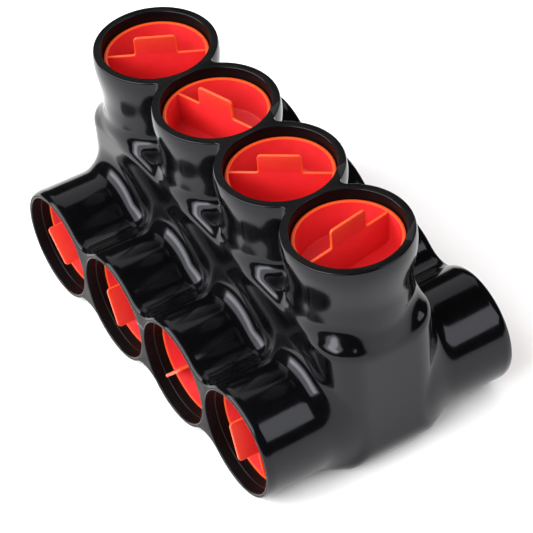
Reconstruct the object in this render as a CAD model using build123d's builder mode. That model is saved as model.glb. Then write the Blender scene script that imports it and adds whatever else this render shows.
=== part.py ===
from build123d import *
from math import atan2, degrees, sqrt
import os

os.makedirs("parts", exist_ok=True)

# Insulated multi-tap connector: one aluminium block inside a soft moulded cover.
# A wire can enter each port from either side, and one socket screw from above clamps it.
# Frame: X along the row of ports, the front wire ports open towards -Y, +Z is up,
# and the origin is at the middle of the footprint, on the surface it stands on.

# Row of ports: the bore of the collars drives their pitch, the block and its holes
port_count = 4
collar_bore_radius = 12.5
bore_gap = 2.0

# Aluminium block
block_bottom = 2.0
block_top = 38.5
block_end_inset = 0.5
block_end_radius = 1.5
block_foot_radius = 1.2
block_edge = 0.6

# Wire ways through the block, one for each port
port_shoulder = 3.0
wire_bore_chamfer = 0.8

# Clamping screws
screw_clearance = 0.05
screw_length = 13.6
screw_drop = 0.6
screw_chamfer = 0.8
screw_point = 3.0
tapped_hole_chamfer = 0.6
socket_flats = 7.94
socket_depth = 7.0
socket_lead = 0.4

# Cover
cover_wall = 2.0
cover_end_wall = 3.0
body_end_radius = 7.5
end_foot_radius = 7.5
ledge_edge = 2.4
collar_height = 19.5
wire_reach = 32.9
screw_collar_wall = 1.3
screw_rim_flare = 1.1
wire_collar_wall = 1.4
wire_rim_flare = 0.3
wire_valley_radius = 6.5
rim_edge = 0.45
mouth_edge = 0.25
screw_mouth_relief = 0.3
screw_mouth_depth = 2.0
wire_mouth_relief = 0.2
wire_mouth_depth = 2.8
collar_root = 7.3

# Plugs that close the collars
plug_clearance = 0.05
plug_wall = 0.9
plug_floor = 1.2
plug_height = 9.5
plug_step_depth = 3.4
plug_step = 0.35
plug_rim_edge = 0.3
plug_draft = 0.25
web_thickness = 0.7
tab_width = 10.0
tab_rise = 4.9
tab_corner = 1.0
screw_plug_depth = 2.6
wire_plug_depth = 4.7

# How far round its own axis each plug happens to be turned, in degrees
screw_plug_turns = [59.0, 18.0, 52.0, 99.0]
front_plug_turns = [-41.0, -68.0, 46.0, -74.0]
back_plug_turns = [24.0, -35.0, 71.0, 8.0]

# Sizes that follow from the ones above; the rims of the wire collars touch the surface
port_pitch = 2 * collar_bore_radius + bore_gap
wire_bore_radius = collar_bore_radius - port_shoulder
screw_radius = wire_bore_radius
block_depth = 2 * collar_bore_radius
block_end_land = collar_bore_radius - block_end_inset
wire_axis_height = collar_bore_radius + wire_collar_wall + wire_rim_flare
port_x = [(i - (port_count - 1) / 2) * port_pitch for i in range(port_count)]
block_length = port_x[-1] - port_x[0] + 2 * block_end_land
block_height = block_top - block_bottom
body_length = block_length + 2 * cover_end_wall
body_depth = block_depth + 2 * cover_wall
ledge_height = block_top + cover_wall
rim_height = ledge_height + collar_height
screw_collar_radius = collar_bore_radius + screw_collar_wall
wire_collar_radius = collar_bore_radius + wire_collar_wall
tapped_hole_radius = screw_radius + screw_clearance
plug_radius = collar_bore_radius - plug_clearance
plug_inner = plug_radius - plug_wall
plug_core = plug_inner - plug_step
plug_floor_top = plug_floor - plug_height

# The collars stand upright over the screws, and those at the wire ports lie along Y
screw_places = [Location((x, 0, 0)) for x in port_x]
front_places = [Location((x, 0, wire_axis_height), (90, 0, 0)) for x in port_x]
back_places = [Location((x, 0, wire_axis_height), (-90, 0, 0)) for x in port_x]
wire_places = front_places + back_places


def collar(root, reach, radius, flare):
    """Solid collar along +Z from root to reach, flared a little, with a rounded rim."""
    rim = radius + flare
    with BuildPart() as solid:
        with BuildSketch(Plane.XZ):
            with BuildLine():
                Polyline((0, reach), (0, root), (radius, root), (rim, reach - rim_edge))
                RadiusArc((rim, reach - rim_edge), (rim - rim_edge, reach), -rim_edge)
                Line((rim - rim_edge, reach), (0, reach))
            make_face()
        revolve(axis=Axis.Z)
    return solid.part


def bore(root, reach, relief, relief_depth):
    """Hollow of a collar along +Z from root to reach, wider at its rounded mouth."""
    mouth = collar_bore_radius + relief
    step = reach - relief_depth
    with BuildPart() as hollow:
        with BuildSketch(Plane.XZ):
            with BuildLine():
                Polyline((0, reach), (0, root), (collar_bore_radius, root), (collar_bore_radius, step))
                Polyline((collar_bore_radius, step), (mouth, step + relief), (mouth, reach - mouth_edge))
                RadiusArc((mouth, reach - mouth_edge), (mouth + mouth_edge, reach), mouth_edge)
                Line((mouth + mouth_edge, reach), (0, reach))
            make_face()
        revolve(axis=Axis.Z)
    return hollow.part


# Outer shape of the block, which the cover is moulded round
with BuildPart() as block_bar:
    with BuildSketch(Plane.XY.offset(block_bottom)):
        RectangleRounded(block_length, block_depth, block_end_radius)
    extrude(amount=block_height)
    fillet(block_bar.edges().group_by(Axis.Z)[0], block_foot_radius)

# Aluminium block: a bar bored through for the wires and tapped from above for the screws
with BuildPart() as connector_block:
    add(block_bar.part)
    chamfer(connector_block.edges().group_by(Axis.Z)[-1], block_edge)
    with Locations(*front_places):
        Hole(wire_bore_radius)
    for face_y, inward in ((-block_depth / 2, -1), (block_depth / 2, 1)):
        with BuildSketch(Plane.XZ.offset(-face_y)):
            with Locations(*[(x, wire_axis_height) for x in port_x]):
                Circle(wire_bore_radius + wire_bore_chamfer)
        extrude(amount=inward * wire_bore_chamfer, taper=45, mode=Mode.SUBTRACT)
    with BuildSketch(Plane.XY.offset(wire_axis_height)):
        with Locations(*[(x, 0) for x in port_x]):
            Circle(tapped_hole_radius)
    extrude(amount=block_top - wire_axis_height, mode=Mode.SUBTRACT)
    with BuildSketch(Plane.XY.offset(block_top)):
        with Locations(*[(x, 0) for x in port_x]):
            Circle(tapped_hole_radius + tapped_hole_chamfer)
    extrude(amount=-tapped_hole_chamfer, taper=45, mode=Mode.SUBTRACT)
connector_block.part.label = "connector_block"
export_step(connector_block.part, "parts/connector_block.step")

# Clamping screw: headless, with a hexagonal socket and a narrower flat point
screw_top = block_top - screw_drop
screw_foot = screw_top - screw_length
with BuildPart() as screw_shape:
    with BuildSketch(Plane.XY.offset(screw_foot)):
        Circle(screw_radius)
    extrude(amount=screw_length)
    chamfer(screw_shape.edges().group_by(Axis.Z)[-1], screw_chamfer)
    chamfer(screw_shape.edges().group_by(Axis.Z)[0], screw_point)
    with BuildSketch(Plane.XY.offset(screw_top)):
        RegularPolygon(socket_flats / 2, 6, major_radius=False)
    extrude(amount=-socket_depth, mode=Mode.SUBTRACT)
    with BuildSketch(Plane.XY.offset(screw_top)):
        Circle(socket_flats / 2 + socket_lead)
    extrude(amount=-socket_lead, taper=45, mode=Mode.SUBTRACT)
for number, place in enumerate(screw_places, start=1):
    with BuildPart() as set_screw:
        with Locations(place):
            add(screw_shape.part)
    set_screw.part.label = f"set_screw_{number}"
    export_step(set_screw.part, f"parts/set_screw_{number}.step")

# Front row of wire collars: their walls merge side by side, with a hollow valley between two
half_pitch = port_pitch / 2
blend_span = wire_collar_radius + wire_valley_radius
blend_centre = sqrt(blend_span**2 - half_pitch**2)
valley_floor = blend_centre - wire_valley_radius
lobe_x = half_pitch * wire_collar_radius / blend_span
lobe_y = blend_centre * wire_collar_radius / blend_span
row_root = body_depth / 2 - collar_root
row_taper = degrees(atan2(wire_rim_flare, wire_reach - row_root))
with BuildPart() as wire_collars:
    with BuildSketch(Plane((0, -row_root, wire_axis_height), x_dir=(1, 0, 0), z_dir=(0, -1, 0))):
        with BuildLine():
            for x in port_x:
                left = (x - lobe_x, lobe_y) if x > port_x[0] else (x - wire_collar_radius, 0)
                right = (x + lobe_x, lobe_y) if x < port_x[-1] else (x + wire_collar_radius, 0)
                ThreePointArc(left, (x, wire_collar_radius), right)
            for x in port_x[:-1]:
                middle = x + half_pitch
                reach = half_pitch - lobe_x
                ThreePointArc((middle - reach, lobe_y), (middle, valley_floor), (middle + reach, lobe_y))
            mirror(about=Plane.XZ)
        make_face()
    extrude(amount=wire_reach - row_root, taper=-row_taper)
    fillet(wire_collars.edges().group_by(Axis.Y)[0], rim_edge)

# Cover: one soft moulding over the whole block, with a collar round every screw and wire port
with BuildPart() as insulating_cover:
    with BuildSketch():
        RectangleRounded(body_length, body_depth, body_end_radius)
    extrude(amount=ledge_height)
    fillet(insulating_cover.edges().group_by(Axis.Z)[-1], ledge_edge)
    with BuildSketch(Plane.XZ) as end_outline:
        with Locations((0, ledge_height / 2)):
            Rectangle(body_length, ledge_height)
        fillet(end_outline.vertices().group_by(Axis.Z)[0], end_foot_radius)
    extrude(amount=body_depth, both=True, mode=Mode.INTERSECT)
    with Locations(*screw_places):
        add(collar(ledge_height - collar_root, rim_height, screw_collar_radius, screw_rim_flare))
    add(wire_collars.part)
    mirror(wire_collars.part, about=Plane.XZ)
    with Locations(*screw_places):
        add(bore(block_top, rim_height, screw_mouth_relief, screw_mouth_depth), mode=Mode.SUBTRACT)
    with Locations(*wire_places):
        add(bore(block_depth / 2, wire_reach, wire_mouth_relief, wire_mouth_depth), mode=Mode.SUBTRACT)
    add(block_bar.part, mode=Mode.SUBTRACT)
insulating_cover.part.label = "insulating_cover"
export_step(insulating_cover.part, "parts/insulating_cover.step")

# Plug: a shallow cup with a thin web across it and a raised finger tab in the middle.
# It is drawn with its rim at the origin, its mouth towards +Z and its web along X.
with BuildPart() as plug_shape:
    with BuildSketch(Plane.XZ):
        with BuildLine():
            Polyline(
                (plug_radius - plug_rim_edge, 0),
                (plug_inner, 0),
                (plug_inner, -plug_step_depth),
                (plug_core, -plug_step_depth - plug_step),
                (plug_core, plug_floor_top),
                (0, plug_floor_top),
                (0, -plug_height),
                (plug_radius - plug_draft, -plug_height),
                (plug_radius, -plug_rim_edge),
            )
            RadiusArc((plug_radius, -plug_rim_edge), (plug_radius - plug_rim_edge, 0), -plug_rim_edge)
        make_face()
    revolve(axis=Axis.Z)
    with BuildSketch(Plane.XZ.offset(-web_thickness / 2)):
        with Locations((0, plug_floor_top)):
            Rectangle(2 * plug_inner, -plug_floor_top, align=(Align.CENTER, Align.MIN))
            Rectangle(tab_width, tab_rise - plug_floor_top, align=(Align.CENTER, Align.MIN))
    extrude(amount=web_thickness)
    fillet(plug_shape.edges().filter_by(Axis.Y).group_by(Axis.Z)[-1], tab_corner)


def plug_places(turns, height, reach, outward):
    """Planes for one row of plugs: each in its port, facing outward and turned by its angle."""
    axis = Axis((0, 0, 0), outward)
    across = [Vector(1, 0, 0).rotate(axis, turn) for turn in turns]
    centres = [Vector(x, 0, height) + axis.direction * reach for x in port_x]
    return [Plane(centre, x_dir=x_dir, z_dir=outward) for centre, x_dir in zip(centres, across)]


# The plugs sit just inside their collars: above the screws, then in the front and back wire ports
plug_rows = {
    "screw_plug": plug_places(screw_plug_turns, 0, rim_height - screw_plug_depth, (0, 0, 1)),
    "front_wire_plug": plug_places(front_plug_turns, wire_axis_height, wire_reach - wire_plug_depth, (0, -1, 0)),
    "back_wire_plug": plug_places(back_plug_turns, wire_axis_height, wire_reach - wire_plug_depth, (0, 1, 0)),
}
for row_name, planes in plug_rows.items():
    for number, plane in enumerate(planes, start=1):
        with BuildPart() as plug:
            with Locations(plane):
                add(plug_shape.part)
        plug.part.label = f"{row_name}_{number}"
        export_step(plug.part, f"parts/{row_name}_{number}.step")
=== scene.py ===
import math

import bpy
import numpy as np
from mathutils import Matrix, Vector


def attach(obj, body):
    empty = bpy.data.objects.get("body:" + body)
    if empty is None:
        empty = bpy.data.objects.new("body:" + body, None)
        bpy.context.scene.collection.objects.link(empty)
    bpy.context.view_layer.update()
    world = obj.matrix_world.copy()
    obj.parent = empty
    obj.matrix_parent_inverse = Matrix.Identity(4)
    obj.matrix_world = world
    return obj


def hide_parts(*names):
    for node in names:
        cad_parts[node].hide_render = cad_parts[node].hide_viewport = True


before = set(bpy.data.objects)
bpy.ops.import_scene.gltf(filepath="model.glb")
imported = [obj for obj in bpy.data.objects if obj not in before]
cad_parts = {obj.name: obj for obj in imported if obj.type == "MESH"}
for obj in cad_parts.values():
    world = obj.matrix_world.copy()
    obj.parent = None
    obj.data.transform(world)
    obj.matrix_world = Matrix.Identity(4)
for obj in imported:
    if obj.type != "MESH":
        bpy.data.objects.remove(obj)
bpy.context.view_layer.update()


# Aluminium block. One bar of extruded aluminium, bored through for the wires and tapped from
# above for the screws, then tin plated. The cover is moulded round it, so it shows only when
# plugs are out: plated metal with fine tool lines along its length.
def new_material(name):
    material = bpy.data.materials.new(name)
    material.use_nodes = True
    return material, material.node_tree.nodes["Principled BSDF"]


def node(tree, kind, **settings):
    made = tree.nodes.new(kind)
    for key, value in settings.items():
        setattr(made, key, value)
    return made


def ramp(tree, source, low, high, low_value, high_value):
    """Map a value from low..high to low_value..high_value."""
    made = node(tree, "ShaderNodeMapRange")
    tree.links.new(source, made.inputs["Value"])
    ends = {"From Min": low, "From Max": high, "To Min": low_value, "To Max": high_value}
    for key, value in ends.items():
        made.inputs[key].default_value = value
    return made.outputs["Result"]


def colour_ramp(tree, source, low, high):
    """Blend two colours by a value from 0 to 1."""
    made = node(tree, "ShaderNodeMix", data_type="RGBA")
    tree.links.new(source, made.inputs["Factor"])
    made.inputs["A"].default_value = (*low, 1.0)
    made.inputs["B"].default_value = (*high, 1.0)
    return made.outputs["Result"]


bump_height = 0.0001


def fine_grain_group():
    """Grain shared by the machined and the moulded surfaces: a value and a bumped normal."""
    group = bpy.data.node_groups.new("fine_grain", "ShaderNodeTree")
    for name, value in (("Scale", 1.0), ("Depth", 0.1), ("Detail", 4.0)):
        socket = group.interface.new_socket(name, in_out="INPUT", socket_type="NodeSocketFloat")
        socket.default_value = value
    group.interface.new_socket("Value", in_out="OUTPUT", socket_type="NodeSocketFloat")
    group.interface.new_socket("Normal", in_out="OUTPUT", socket_type="NodeSocketVector")
    given = node(group, "NodeGroupInput")
    result = node(group, "NodeGroupOutput")
    place = node(group, "ShaderNodeTexCoord")
    noise = node(group, "ShaderNodeTexNoise", noise_dimensions="3D")
    bump = node(group, "ShaderNodeBump")
    bump.inputs["Distance"].default_value = bump_height
    group.links.new(place.outputs["Object"], noise.inputs["Vector"])
    group.links.new(given.outputs["Scale"], noise.inputs["Scale"])
    group.links.new(given.outputs["Detail"], noise.inputs["Detail"])
    group.links.new(given.outputs["Depth"], bump.inputs["Strength"])
    group.links.new(noise.outputs["Fac"], bump.inputs["Height"])
    group.links.new(noise.outputs["Fac"], result.inputs["Value"])
    group.links.new(bump.outputs["Normal"], result.inputs["Normal"])
    return group


fine_grain = fine_grain_group()


def add_grain(tree, scale, depth, detail=4.0):
    made = node(tree, "ShaderNodeGroup")
    made.node_tree = fine_grain
    made.inputs["Scale"].default_value = scale
    made.inputs["Depth"].default_value = depth
    made.inputs["Detail"].default_value = detail
    return made


def machined_metal(name, low, high, rough_low, rough_high, line_scale):
    """Plated or bare aluminium with fine tool lines along X and a slight bloom."""
    line_stretch = 0.02
    material, shader = new_material(name)
    tree = material.node_tree
    place = node(tree, "ShaderNodeTexCoord")
    stretch = node(tree, "ShaderNodeMapping")
    stretch.inputs["Scale"].default_value = (line_scale * line_stretch, line_scale, line_scale)
    lines = node(tree, "ShaderNodeTexNoise", noise_dimensions="3D")
    lines.inputs["Scale"].default_value = 1.0
    lines.inputs["Detail"].default_value = 3.0
    tree.links.new(place.outputs["Object"], stretch.inputs["Vector"])
    tree.links.new(stretch.outputs["Vector"], lines.inputs["Vector"])
    bloom = add_grain(tree, 60.0, 0.05)
    metal = colour_ramp(tree, bloom.outputs["Value"], low, high)
    roughness = ramp(tree, lines.outputs["Fac"], 0.3, 0.7, rough_low, rough_high)
    bump = node(tree, "ShaderNodeBump")
    bump.inputs["Strength"].default_value = 0.12
    bump.inputs["Distance"].default_value = bump_height
    tree.links.new(lines.outputs["Fac"], bump.inputs["Height"])
    tree.links.new(metal, shader.inputs["Base Color"])
    tree.links.new(roughness, shader.inputs["Roughness"])
    tree.links.new(bump.outputs["Normal"], shader.inputs["Normal"])
    shader.inputs["Metallic"].default_value = 1.0
    return material


def dress(piece, *materials):
    """Give a piece these materials in place of its own."""
    piece.data.materials.clear()
    for material in materials:
        piece.data.materials.append(material)


plated_aluminium = machined_metal(
    "plated_aluminium", (0.62, 0.63, 0.64), (0.76, 0.77, 0.78), 0.28, 0.42, 9000.0
)
dress(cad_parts["connector_block"], plated_aluminium)

# Clamping screws. Each is a headless aluminium screw with a hexagonal socket, turned and
# threaded. It stands in the tapped hole over its wire bore and is driven down with a key.
# Like the pieces after it, it is drawn in millimetres and brought to metres when it is done.
to_metres = 0.001
half_pitch = 13.5
port_x = [half_pitch * place for place in (-3, -1, 1, 3)]
screw_radius = 9.5
screw_length = 13.6
screw_top = 37.9
point_chamfer = 3.0
top_chamfer = 0.8
thread_pitch = 1.6
thread_depth = 0.75
thread_start = 2.6
thread_end = 1.8
crest_relief = 0.05
socket_radius = 7.94 / math.sqrt(3.0)
socket_depth = 7.0
turned_aluminium = machined_metal(
    "turned_aluminium", (0.55, 0.56, 0.57), (0.7, 0.71, 0.72), 0.22, 0.36, 7000.0
)


def deselect():
    bpy.ops.object.select_all(action="DESELECT")


def pick(piece):
    """Select this piece alone and make it the active one."""
    deselect()
    piece.select_set(True)
    bpy.context.view_layer.objects.active = piece


def add_object(name, data):
    made = bpy.data.objects.new(name, data)
    bpy.context.collection.objects.link(made)
    return made


def finish_piece(piece, body, slot, *nodes):
    """Bring a piece to metres with its place in its mesh, attach it to its body and hide the parts of the
    model that it replaces.
    """
    pick(piece)
    piece.scale = (to_metres,) * 3
    bpy.ops.object.transform_apply(location=True, rotation=True, scale=True)
    deselect()
    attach(piece, body)
    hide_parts(*nodes)


def lathe(name, profile, segments):
    """Turned solid about Z from (radius, height) points that start and end on the axis."""
    mesh = bpy.data.meshes.new(name)
    edges = [(i, i + 1) for i in range(len(profile) - 1)]
    mesh.from_pydata([(radius, 0.0, height) for radius, height in profile], edges, [])
    piece = add_object(name, mesh)
    pick(piece)
    bpy.ops.object.mode_set(mode="EDIT")
    bpy.ops.mesh.select_all(action="SELECT")
    bpy.ops.mesh.spin(steps=segments, angle=math.tau, center=(0, 0, 0), axis=(0, 0, 1))
    bpy.ops.mesh.select_all(action="SELECT")
    bpy.ops.mesh.remove_doubles(threshold=0.0005)
    bpy.ops.mesh.normals_make_consistent(inside=False)
    bpy.ops.object.mode_set(mode="OBJECT")
    return piece


def apply_modifier(piece, kind, **settings):
    made = piece.modifiers.new(kind.lower(), kind)
    for key, value in settings.items():
        setattr(made, key, value)
    pick(piece)
    bpy.ops.object.modifier_apply(modifier=made.name)


def combine(piece, tool, operation):
    """Cut a tool out of a piece, or unite the two, and remove the tool."""
    apply_modifier(piece, "BOOLEAN", object=tool, operation=operation, solver="MANIFOLD")
    bpy.data.objects.remove(tool, do_unlink=True)


def smooth(piece, degrees):
    pick(piece)
    bpy.ops.object.shade_smooth_by_angle(angle=math.radians(degrees))


root_radius = screw_radius - thread_depth
crest_radius = screw_radius - crest_relief
thread_turns = int((screw_length - thread_start - thread_end) / thread_pitch)
screw_profile = [
    (0.0, -screw_length),
    (screw_radius - point_chamfer, -screw_length),
    (root_radius, -screw_length + point_chamfer - thread_depth),
]
for turn in range(thread_turns + 1):
    base = -screw_length + thread_start + turn * thread_pitch
    screw_profile += [
        (root_radius, base + 0.15 * thread_pitch),
        (crest_radius, base + 0.45 * thread_pitch),
        (crest_radius, base + 0.6 * thread_pitch),
        (root_radius, base + 0.9 * thread_pitch),
    ]
screw_profile += [
    (screw_radius - top_chamfer, -top_chamfer),
    (screw_radius - 2 * top_chamfer, 0.0),
    (0.0, 0.0),
]
screw_model = lathe("screw_model", screw_profile, 96)
bpy.ops.mesh.primitive_cylinder_add(
    vertices=6, radius=socket_radius, depth=2 * socket_depth, rotation=(0, 0, math.radians(30.0))
)
bpy.ops.object.transform_apply(location=True, rotation=True, scale=True)
combine(screw_model, bpy.context.object, "DIFFERENCE")
smooth(screw_model, 35.0)
dress(screw_model, turned_aluminium)
for number, x in enumerate(port_x, start=1):
    screw = add_object(f"threaded_screw_{number}", screw_model.data.copy())
    screw.data.transform(Matrix.Translation((x, 0, screw_top)))
    finish_piece(screw, f"set_screw_{number}", "screw", f"set_screw_{number}")
bpy.data.objects.remove(screw_model, do_unlink=True)

# Insulating cover. One soft black moulding over the block, dipped and cured, so its walls run
# into each other with soft blends. Every opening has a collar with a plain flat rim: four stand
# over the screws, and four lie side by side at the front and four at the back round the wires.
body_half_length = 55.5
body_half_depth = 14.5
body_back_depth = 14.1
corner_radius = 8.0
back_corner_radius = 7.5
foot_radius = 8.3
foot_blend = 4.0
ledge_height = 40.5
ledge_edge = 2.4
end_shoulder = 3.8
end_start = 42.0
end_run = 11.0
corner_start = 5.0
corner_run = 6.0
corner_hold = 0.68
rim_height = 60.0
wire_axis = 14.2
wire_reach = 32.9
collar_bore = 12.5
screw_rim_radius = 15.0
screw_neck_radius = 13.95
back_pinch = 0.3
neck_height = 47.0
bead_height = 57.5
screw_valley = 1.1
screw_root = 30.0
screw_blend = 3.2
screw_relief = 0.3
screw_bore_root = 37.5
wire_rim_radius = 14.2
wire_foot_radius = 13.85
wire_valley = 6.5
wire_root = 8.0
wire_blend = 5.0
wire_relief = 0.2
wire_bore_root = 11.5
pocket_half_length = 52.5
pocket_half_depth = 12.5
pocket_floor = 2.0
pocket_top = 38.5
pocket_corner = 1.5
spare = 1.5
probe = 0.02


def smooth_step(share):
    """Ease a share from 0 to 1 so that it starts and ends softly."""
    return share * share * (3 - 2 * share)


def round_max(a, b, radius):
    """Overlap of two shapes with a rounded outer edge."""
    edge = np.hypot(np.maximum(a + radius, 0), np.maximum(b + radius, 0))
    return np.minimum(-radius, np.maximum(a, b)) + edge


def round_min(a, b, radius):
    """Union of two shapes with a hollow blend between them."""
    hollow = np.hypot(np.maximum(radius - a, 0), np.maximum(radius - b, 0))
    return np.maximum(radius, np.minimum(a, b)) - hollow


def body_distance(x, y, z):
    """Distance from the plain body: rounded upright corners, and rounded ends to its foot. Its
    upper edge gets a wider shoulder towards the ends, less so at the corners."""
    corner = np.where(y > 0, back_corner_radius, corner_radius)
    depth = np.where(y > 0, body_back_depth, body_half_depth)
    out_x = np.abs(x) - body_half_length
    plan_x, plan_y = out_x + corner, np.abs(y) - depth + corner
    foot_x, foot_z = out_x + foot_radius, foot_radius - z
    plan_size = np.hypot(np.maximum(plan_x, 0), np.maximum(plan_y, 0))
    foot_size = np.hypot(np.maximum(foot_x, 0), np.maximum(foot_z, 0))
    plan = plan_size + np.minimum(np.maximum(plan_x, plan_y), 0) - corner
    foot = foot_size + np.minimum(np.maximum(foot_x, foot_z), 0) - foot_radius
    shared = np.maximum(plan_x, 0) * np.maximum(foot_x, 0) / np.maximum(plan_size * foot_size, 1e-6)
    blend = foot_blend * np.clip(1 - shared, 0, 1) * (plan_x > 0)
    at_end = smooth_step(np.clip((np.abs(x) - end_start) / end_run, 0, 1))
    at_corner = smooth_step(np.clip((np.abs(y) - corner_start) / corner_run, 0, 1))
    shoulder = ledge_edge + end_shoulder * at_end * (1 - corner_hold * at_corner)
    return round_max(round_max(plan, foot, blend), z - ledge_height, shoulder)


def row_distance(across, along, side, radius, rim_radius, valley, reach):
    """Distance to a row of merged collars that run along one direction, past their rims."""
    span = rim_radius + valley
    centre = math.sqrt(span ** 2 - half_pitch ** 2)
    nearest = np.clip(np.round(across / half_pitch / 2 + 1.5), 0, 3) * 2 * half_pitch - 3 * half_pitch
    off_axis = np.abs(across - nearest)
    side = np.abs(side)
    wall = np.hypot(off_axis, side) - radius
    hollow = span - radius - np.hypot(half_pitch - off_axis, centre - side)
    between = (half_pitch - off_axis) * centre < half_pitch * (centre - side)
    wall = np.where(between & (np.abs(across) < 3 * half_pitch), hollow, wall)
    return np.maximum(wall, along - reach - spare)


def cover_distance(p):
    """Distance from the moulding's outer skin, less than nothing inside it."""
    x, y, z = p[:, 0], p[:, 1], p[:, 2]
    body = body_distance(x, y, z)
    face = np.abs(body_distance(x, y + probe, z) - body_distance(x, y - probe, z)) / (2 * probe)
    top = (body_distance(x, y, z + probe) - body_distance(x, y, z - probe)) / (2 * probe)
    bead = smooth_step(np.clip((z - neck_height) / (bead_height - neck_height), 0, 1))
    neck = screw_neck_radius - back_pinch * np.clip(y / screw_neck_radius, 0, 1)
    upright = neck + (screw_rim_radius - neck) * bead
    screws = row_distance(x, z, y, upright, screw_rim_radius, screw_valley, rim_height)
    screws = np.maximum(screws, screw_root - z)
    share = np.clip((np.abs(y) - body_half_depth) / (wire_reach - body_half_depth), 0, 1)
    lying = wire_foot_radius + (wire_rim_radius - wire_foot_radius) * share
    wires = row_distance(x, np.abs(y), z - wire_axis, lying, wire_rim_radius, wire_valley, wire_reach)
    wires = np.maximum(wires, wire_root - np.abs(y))
    whole = round_min(body, screws, screw_blend * np.clip(top, 0, 1))
    whole = round_min(whole, wires, wire_blend * np.clip(face, 0, 1))
    return np.maximum(whole, np.maximum(np.abs(x) - body_half_length, -z))


def settle(piece, steps, ease):
    """Move every vertex onto the outer skin, easing their spacing between all but the last two
    moves."""
    longest_move = 0.6
    least_slope = 0.25
    mesh = piece.data
    count = len(mesh.vertices)
    p = np.empty(count * 3)
    mesh.vertices.foreach_get("co", p)
    p = p.reshape(-1, 3)
    edges = np.empty(len(mesh.edges) * 2, dtype=np.int64)
    mesh.edges.foreach_get("vertices", edges)
    a, b = edges.reshape(-1, 2).T
    valence = np.bincount(a, minlength=count) + np.bincount(b, minlength=count)
    for step in range(steps):
        if step < steps - 2:
            total = [np.bincount(a, p[b, i], count) + np.bincount(b, p[a, i], count) for i in range(3)]
            p = p + ease * (np.stack(total, axis=1) / valence[:, None] - p)
        distance = cover_distance(p)
        rises = [cover_distance(p + move) - cover_distance(p - move) for move in probe * np.eye(3)]
        slope = np.stack(rises, axis=1) / (2 * probe)
        size = np.maximum((slope ** 2).sum(axis=1), least_slope)
        p = p - np.clip(distance / size, -longest_move, longest_move)[:, None] * slope
    mesh.vertices.foreach_set("co", p.ravel())
    mesh.update()


def block_in(name, low, high):
    """Box between two corners."""
    bpy.ops.mesh.primitive_cube_add(size=1, location=[(a + b) / 2 for a, b in zip(low, high)])
    made = bpy.context.object
    made.name = name
    made.scale = [b - a for a, b in zip(low, high)]
    bpy.ops.object.transform_apply(location=True, rotation=True, scale=True)
    return made


def join(pieces):
    """Join the pieces into the first one, with its place in its mesh."""
    deselect()
    for piece in pieces:
        piece.select_set(True)
    bpy.context.view_layer.objects.active = pieces[0]
    bpy.ops.object.join()
    bpy.ops.object.transform_apply(location=True, rotation=True, scale=True)
    return pieces[0]


row_half_length = 3 * half_pitch
row_half_depth = 9.0
row_floor = 4.0
row_top = 24.0
screw_end = rim_height + spare
wire_end = wire_reach + spare
deselect()
cores = [
    block_in(
        "moulded_cover",
        (-body_half_length, -body_half_depth, 0),
        (body_half_length, body_half_depth, ledge_height),
    ),
    block_in(
        "screw_row",
        (-row_half_length, -row_half_depth, screw_root),
        (row_half_length, row_half_depth, screw_end),
    ),
    block_in("wire_row", (-row_half_length, -wire_end, row_floor), (row_half_length, wire_end, row_top)),
]
for x in port_x:
    bpy.ops.mesh.primitive_cylinder_add(
        vertices=96, radius=screw_neck_radius, depth=screw_end - screw_root,
        location=(x, 0, (screw_end + screw_root) / 2),
    )
    cores.append(bpy.context.object)
    bpy.ops.mesh.primitive_cylinder_add(
        vertices=96, radius=wire_foot_radius, depth=2 * wire_end,
        location=(x, 0, wire_axis), rotation=(math.radians(90), 0, 0),
    )
    cores.append(bpy.context.object)
cover = join(cores)
apply_modifier(cover, "REMESH", mode="VOXEL", voxel_size=0.78)
settle(cover, steps=12, ease=0.35)


def row_outline(rim_radius, valley, inset):
    """Outline of a row of merged collars at their rims, drawn inside it by the inset."""
    collar_steps = 48
    valley_steps = 12
    radius = rim_radius - inset
    hollow = valley + inset
    centre = math.sqrt((rim_radius + valley) ** 2 - half_pitch ** 2)
    turn = math.atan2(centre, half_pitch)
    last = len(port_x) - 1
    upper = []
    for i, x in enumerate(port_x):
        start = math.pi if i == 0 else math.pi - turn
        end = 0.0 if i == last else turn
        for step in range(collar_steps + 1):
            angle = start + (end - start) * step / collar_steps
            upper.append((x + radius * math.cos(angle), radius * math.sin(angle)))
        if i < last:
            middle = x + half_pitch
            for step in range(1, valley_steps):
                angle = turn - math.pi + (math.pi - 2 * turn) * step / valley_steps
                upper.append((middle + hollow * math.cos(angle), centre + hollow * math.sin(angle)))
    return upper + [(x, -y) for x, y in upper[-2:0:-1]]


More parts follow.
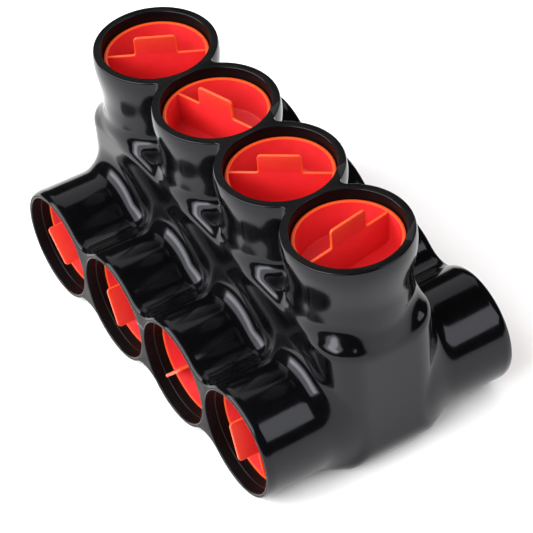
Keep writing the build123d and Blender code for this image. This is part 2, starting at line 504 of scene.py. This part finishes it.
def rim_cutter(rim_radius, valley, edge, edge_depth):
    """Tool that cuts a row of collars off flat and rounds its outer edge, with the rims at zero."""
    edge_steps = 8
    edge_turn = 80.0
    overlap = 0.25
    clear = 0.9
    rings = []
    for step in range(edge_steps + 1):
        turn = math.radians(edge_turn * step / edge_steps)
        rings.append((edge * (1 - math.sin(turn)), edge_depth * (math.cos(turn) - 1)))
    slope = edge_depth * math.sin(turn) / (edge * math.cos(turn))
    low = rings[-1][1] - (rings[-1][0] + overlap) * slope
    rings += [(-overlap, low), (-clear, low), (-clear, 2 * spare)]
    points = []
    for inset, height in rings:
        points += [(x, y, height) for x, y in row_outline(rim_radius, valley, inset)]
    count = len(points) // len(rings)
    faces = [tuple(range(count)), tuple(range(len(points) - count, len(points)))]
    for ring in range(len(rings) - 1):
        for i in range(count):
            a, b = ring * count + i, ring * count + (i + 1) % count
            faces.append((a, b, b + count, a + count))
    mesh = bpy.data.meshes.new("rim_cutter")
    mesh.from_pydata(points, [], faces)
    cutter = add_object("rim_cutter", mesh)
    pick(cutter)
    bpy.ops.object.mode_set(mode="EDIT")
    bpy.ops.mesh.select_all(action="SELECT")
    bpy.ops.mesh.normals_make_consistent(inside=False)
    bpy.ops.object.mode_set(mode="OBJECT")
    return cutter


def mouth_profile(root, reach, start, end, relief, edge):
    """Hollow of a collar: a straight bore that widens by the relief between two depths under the
    rim, and a rounded mouth."""
    mouth_steps = 4
    past_rim = 1.0
    mouth = collar_bore + relief
    points = [(0.0, root), (collar_bore, root), (collar_bore, reach - start), (mouth, reach - end)]
    for step in range(mouth_steps + 1):
        turn = math.radians(90.0 * step / mouth_steps)
        points.append((mouth + edge * (1 - math.cos(turn)), reach - edge + edge * math.sin(turn)))
    points += [(mouth + edge, reach + past_rim), (0.0, reach + past_rim)]
    return points


wire_turns = [
    Matrix.Translation((0, 0, wire_axis)) @ Matrix.Rotation(math.radians(turn), 4, "X")
    for turn in (90.0, -90.0)
]
cutters = [rim_cutter(screw_rim_radius, screw_valley, edge=0.45, edge_depth=3.0)]
cutters[0].data.transform(Matrix.Translation((0, 0, rim_height)))
for turned in wire_turns:
    cutters.append(rim_cutter(wire_rim_radius, wire_valley, edge=0.8, edge_depth=2.6))
    cutters[-1].data.transform(turned @ Matrix.Translation((0, 0, wire_reach)))
combine(cover, join(cutters), "DIFFERENCE")
bores = []
screw_mouth = mouth_profile(screw_bore_root, rim_height, start=8.0, end=0.4, relief=screw_relief, edge=0.2)
wire_mouth = mouth_profile(wire_bore_root, wire_reach, start=2.8, end=2.6, relief=wire_relief, edge=0.25)
for x in port_x:
    bores.append(lathe("screw_bore", screw_mouth, 128))
    bores[-1].data.transform(Matrix.Translation((x, 0, 0)))
    for turned in wire_turns:
        bores.append(lathe("wire_bore", wire_mouth, 128))
        bores[-1].data.transform(Matrix.Translation((x, 0, 0)) @ turned)
combine(cover, join(bores), "DIFFERENCE")
pocket = block_in(
    "pocket",
    (-pocket_half_length, -pocket_half_depth, pocket_floor),
    (pocket_half_length, pocket_half_depth, pocket_top),
)
apply_modifier(pocket, "BEVEL", width=pocket_corner, segments=3)
combine(cover, pocket, "DIFFERENCE")
smooth(cover, 40.0)


def sum_of(tree, operation, a, b=None, c=None):
    """One sum of a material: each side is an output of another node or a plain number."""
    made = node(tree, "ShaderNodeMath", operation=operation)
    for i, value in enumerate((a, b, c)):
        if isinstance(value, (int, float)):
            made.inputs[i].default_value = value
        elif value is not None:
            tree.links.new(value, made.inputs[i])
    return made.outputs["Value"]


def black_moulding(name, pale_grain, rough_low, rough_high, specular):
    """Black plastic with a fine grain, as its material, its shader and the grain's value."""
    material, shader = new_material(name)
    tree = material.node_tree
    grain = add_grain(tree, 420.0, 0.05, 2.0).outputs["Value"]
    black = colour_ramp(tree, grain, (0.0012, 0.0012, 0.0014), pale_grain)
    tree.links.new(black, shader.inputs["Base Color"])
    tree.links.new(ramp(tree, grain, 0.3, 0.7, rough_low, rough_high), shader.inputs["Roughness"])
    shader.inputs["Specular IOR Level"].default_value = specular
    return material, shader, grain


cover_black, shader, grain = black_moulding(
    "gloss_black_moulding", (0.0022, 0.0022, 0.0026), 0.11, 0.15, 0.27
)
shader.inputs["Specular Tint"].default_value = (0.90, 0.91, 1.0, 1.0)
tree = cover_black.node_tree
waves = add_grain(tree, 95.0, 0.5, 1.0)
skin_height = sum_of(tree, "MULTIPLY_ADD", grain, 0.03, waves.outputs["Value"])
skin_bump = node(tree, "ShaderNodeBump")
skin_bump.inputs["Strength"].default_value = 0.7
skin_bump.inputs["Distance"].default_value = bump_height
tree.links.new(skin_height, skin_bump.inputs["Height"])
tree.links.new(skin_bump.outputs["Normal"], shader.inputs["Normal"])
bore_black = black_moulding("dull_black_bore", (0.002, 0.002, 0.0022), 0.4, 0.5, 0.12)[0]


def mark_bores(piece):
    """Give the inner walls of the collars the second, duller material."""
    margin = 0.5
    screw_wall = collar_bore + screw_relief + 0.02
    wire_wall = collar_bore + wire_relief + 0.01
    for face in piece.data.polygons:
        x, y, z = face.center
        off_axis = min(abs(x - place) for place in port_x)
        in_screw_bore = z > screw_bore_root - margin and math.hypot(off_axis, y) < screw_wall
        in_wire_bore = abs(y) > wire_bore_root - margin and math.hypot(off_axis, z - wire_axis) < wire_wall
        if in_screw_bore or in_wire_bore:
            face.material_index = 1


dress(cover, cover_black, bore_black)
mark_bores(cover)
finish_piece(cover, "connector", "cover", "insulating_cover")

# Plugs. Each is a shallow cup of red, slightly translucent plastic, moulded with a thin web
# across it and a finger tab in the middle. It pushes into a collar and pulls out by its tab.
plug_radius = 12.45
plug_wall = 0.9
plug_inner = plug_radius - plug_wall
plug_taper = 0.2
plug_core = plug_inner - plug_taper
plug_floor = -8.3
plug_height = 9.5
cup_round = 1.2
cup_bow = 0.35
mouth_round = 0.2
rim_round = 0.3
bow = 0.3
screw_plug_depth = 2.6
wire_plug_depth = 4.7
web_thickness = 0.7
web_in_wall = 0.2
web_in_floor = 0.3
tab_half = 5.0
tab_rise = 4.9
tab_corner = 0.9
tab_foot = 0.5

plug_profile = [
    (0.0, plug_floor),
    (plug_core - cup_round, plug_floor),
    (plug_core - cup_bow, plug_floor + cup_bow),
    (plug_core, plug_floor + cup_round),
    (plug_inner, -mouth_round),
    (plug_inner + bow * mouth_round, -bow * mouth_round),
    (plug_inner + mouth_round, 0.0),
    (plug_radius - rim_round, 0.0),
    (plug_radius - bow * rim_round, -bow * rim_round),
    (plug_radius, -rim_round),
    (plug_radius - plug_taper, -plug_height + rim_round),
    (plug_radius - plug_taper - rim_round, -plug_height),
    (0.0, -plug_height),
]
plug_model = lathe("plug_model", plug_profile, 128)


def web_plate():
    """Web with its raised tab: an outline drawn upright, thickened and rounded along its edges.
    It is sunk a little into the cup's wall and floor."""
    corner_steps = 6
    end = plug_inner + web_in_wall
    low = plug_floor - web_in_floor
    outline = [(-end, low), (end, low), (end, 0.0)]
    for side in (1, -1):
        arc = []
        for step in range(corner_steps + 1):
            turn = math.radians(90.0 * step / corner_steps)
            across = tab_half - tab_corner + tab_corner * math.cos(turn)
            arc.append((side * across, tab_rise - tab_corner + tab_corner * math.sin(turn)))
        foot = [
            (side * (tab_half + tab_foot), 0.0),
            (side * (tab_half + bow * tab_foot), bow * tab_foot),
            (side * tab_half, tab_foot),
        ]
        if side == 1:
            outline += foot + arc
        else:
            outline += arc[::-1] + foot[::-1]
    outline.append((-end, 0.0))
    mesh = bpy.data.meshes.new("web")
    mesh.from_pydata([(x, 0.0, z) for x, z in outline], [], [tuple(range(len(outline)))])
    web = add_object("web", mesh)
    apply_modifier(web, "SOLIDIFY", thickness=web_thickness, offset=0.0)
    apply_modifier(web, "BEVEL", width=0.18, segments=3, limit_method="ANGLE", angle_limit=math.radians(50))
    return web


combine(plug_model, web_plate(), "UNION")
smooth(plug_model, 32.0)


def painted_edge_light(tree):
    """Share of painted light: how much lighter orange is painted into the base colour near the edges of the
    tab and the cup's rim, and more of it up the tab, for light that the plastic lets through there.
    """
    inner, outer = 0.32, 0.12
    drawn = node(tree, "ShaderNodeAttribute", attribute_name="drawn_at")
    parts = node(tree, "ShaderNodeSeparateXYZ")
    tree.links.new(drawn.outputs["Vector"], parts.inputs["Vector"])
    across = sum_of(tree, "ABSOLUTE", parts.outputs["X"])
    side = sum_of(tree, "ABSOLUTE", parts.outputs["Y"])
    height = parts.outputs["Z"]
    tab_top = ramp(tree, height, tab_rise - inner, tab_rise - outer, 0.0, 1.0)
    tab_side = sum_of(
        tree, "MULTIPLY", ramp(tree, across, tab_half - inner, tab_half - outer, 0.0, 1.0),
        sum_of(tree, "GREATER_THAN", height, 0.1),
    )
    rim = sum_of(
        tree, "MULTIPLY", ramp(tree, height, -inner, -outer, 0.0, 1.0),
        sum_of(tree, "GREATER_THAN", sum_of(tree, "MAXIMUM", across, side), tab_half),
    )
    # Painted light: the tab is painted a lighter orange the higher it rises.
    painted_tab_light = ramp(tree, height, 0.0, tab_rise, 0.0, 0.35)
    nearest = sum_of(tree, "MAXIMUM", sum_of(tree, "MAXIMUM", tab_top, tab_side), rim)
    return sum_of(tree, "MAXIMUM", nearest, painted_tab_light)


plug_red, shader = new_material("red_plug_plastic")
tree = plug_red.node_tree
grain = add_grain(tree, 300.0, 0.04, 2.0)
red = colour_ramp(tree, grain.outputs["Value"], (0.56, 0.012, 0.014), (0.62, 0.015, 0.018))
# Painted glow: a lighter orange mixed into the base colour near the plug's edges and up its tab, standing
# in for light through the plastic.
glow = node(tree, "ShaderNodeMix", data_type="RGBA")
tree.links.new(painted_edge_light(tree), glow.inputs["Factor"])
tree.links.new(red, glow.inputs["A"])
glow.inputs["B"].default_value = (0.72, 0.068, 0.009, 1.0)
tree.links.new(glow.outputs["Result"], shader.inputs["Base Color"])
tree.links.new(ramp(tree, grain.outputs["Value"], 0.3, 0.7, 0.4, 0.5), shader.inputs["Roughness"])
tree.links.new(grain.outputs["Normal"], shader.inputs["Normal"])
shader.inputs["Subsurface Weight"].default_value = 0.2
shader.inputs["Subsurface Scale"].default_value = 0.001
dress(plug_model, plug_red)
drawn_at = plug_model.data.attributes.new("drawn_at", "FLOAT_VECTOR", "POINT")
for vertex, value in zip(plug_model.data.vertices, drawn_at.data):
    value.vector = vertex.co

screw_plug_top = rim_height - screw_plug_depth
wire_plug_face = wire_reach - wire_plug_depth
plug_rows = (
    ("screw_plug", (59.0, 18.0, 52.0, 99.0), Vector((0, 0, 1)), 0.0, screw_plug_top),
    ("front_wire_plug", (-41.0, -68.0, 46.0, -74.0), Vector((0, -1, 0)), wire_axis, wire_plug_face),
    ("back_wire_plug", (24.0, -35.0, 71.0, 8.0), Vector((0, 1, 0)), wire_axis, wire_plug_face),
)
for row, turns, outward, height, reach in plug_rows:
    for number, (x, turn) in enumerate(zip(port_x, turns), start=1):
        across = Matrix.Rotation(math.radians(turn), 3, outward) @ Vector((1, 0, 0))
        place = Matrix((across, outward.cross(across), outward)).transposed().to_4x4()
        place.translation = Vector((x, 0, height)) + outward * reach
        plug = add_object(f"tab_{row}_{number}", plug_model.data.copy())
        plug.data.transform(place)
        finish_piece(plug, f"{row}_{number}", "plug", f"{row}_{number}")
bpy.data.objects.remove(plug_model, do_unlink=True)

# Floor of the studio: a plain white sheet just under the object, which keeps its shadow. The room
# is dark. Soft boxes draw the streaks on the black moulding, and wide fills that its gloss doesn't
# show light the plugs and the floor.
floor_size = 6.0
floor_gap = 0.0002
bpy.ops.mesh.primitive_plane_add(size=floor_size, location=(0, 0, -floor_gap))
floor = bpy.context.object
floor.name = "white_floor"
floor_white, shader = new_material("white_sheet")
tree = floor_white.node_tree
grain = add_grain(tree, 40.0, 0.01, 2.0)
white = colour_ramp(tree, grain.outputs["Value"], (0.96, 0.96, 0.96), (0.98, 0.98, 0.98))
tree.links.new(white, shader.inputs["Base Color"])
shader.inputs["Roughness"].default_value = 0.9
shader.inputs["Specular IOR Level"].default_value = 0.1
dress(floor, floor_white)


def soft_light(name, azimuth, elevation, distance, width, height, radiance, in_gloss=True):
    """Rectangular soft box that looks at the object from this direction, in degrees and metres."""
    aimed_at = Vector((0.0, 0.0, 0.03))
    lamp = bpy.data.lights.new(name, "AREA")
    lamp.shape = "RECTANGLE"
    lamp.size = width
    lamp.size_y = height
    lamp.energy = radiance * math.pi * width * height
    made = add_object(name, lamp)
    turn, rise = math.radians(azimuth), math.radians(elevation)
    aim = Vector((math.sin(turn) * math.cos(rise), -math.cos(turn) * math.cos(rise), math.sin(rise)))
    made.location = aimed_at + aim * distance
    made.rotation_euler = aim.to_track_quat("Z", "Y").to_euler()
    made.visible_glossy = in_gloss


soft_light("right_soft_box", 124.0, 36.0, 0.9, 0.5, 0.5, 3.4)
soft_light("left_soft_box", -10.0, 36.0, 0.9, 1.3, 0.26, 7.5)
soft_light("left_glow", -10.0, 43.0, 1.1, 1.8, 1.0, 4.0)
soft_light("back_left_glow", 241.0, 46.0, 1.2, 1.1, 0.7, 1.1)
soft_light("overhead_fill", 0.0, 89.0, 1.0, 1.2, 1.2, 0.5, in_gloss=False)
soft_light("front_fill", 55.0, 34.0, 1.0, 0.9, 0.6, 1.6, in_gloss=False)
soft_light("back_fill", 165.0, 50.0, 1.2, 0.9, 0.9, 1.7, in_gloss=False)

world = bpy.data.worlds.new("dark_room")
bpy.context.scene.world = world
world.use_nodes = True
background = world.node_tree.nodes["Background"]
background.inputs["Color"].default_value = (1.0, 1.0, 1.0, 1.0)
background.inputs["Strength"].default_value = 0.03

# Camera: above the near end of the row and to the front, turned a little about its own axis. Its
# place and lens were fitted to the rims of the collars.
camera_azimuth = math.radians(61.3469)
camera_height = math.radians(42.1716)
camera_roll = math.radians(-5.6194)
camera_distance = 587.848
camera_shift = Vector((-4.3032, 30.0846))
picture_width = 533.0
focal_pixels = 2628.534

back = Vector((
    math.sin(camera_azimuth) * math.cos(camera_height),
    -math.cos(camera_azimuth) * math.cos(camera_height),
    math.sin(camera_height),
))
level = Vector((math.cos(camera_azimuth), math.sin(camera_azimuth), 0.0))
upright = back.cross(level)
right = level * math.cos(camera_roll) + upright * math.sin(camera_roll)
up = upright * math.cos(camera_roll) - level * math.sin(camera_roll)
camera_data = bpy.data.cameras.new("camera")
camera_data.sensor_width = 36.0
camera_data.lens = focal_pixels * camera_data.sensor_width / picture_width
camera_data.clip_start = 0.01
camera = add_object("camera", camera_data)
placed = Matrix((right, up, back)).transposed().to_4x4()
placed.translation = (
    Vector((0, 0, rim_height)) - camera_shift.x * right - camera_shift.y * up + camera_distance * back
) * to_metres
camera.matrix_world = placed
bpy.context.scene.camera = camera
bpy.context.scene.view_settings.view_transform = "Standard"
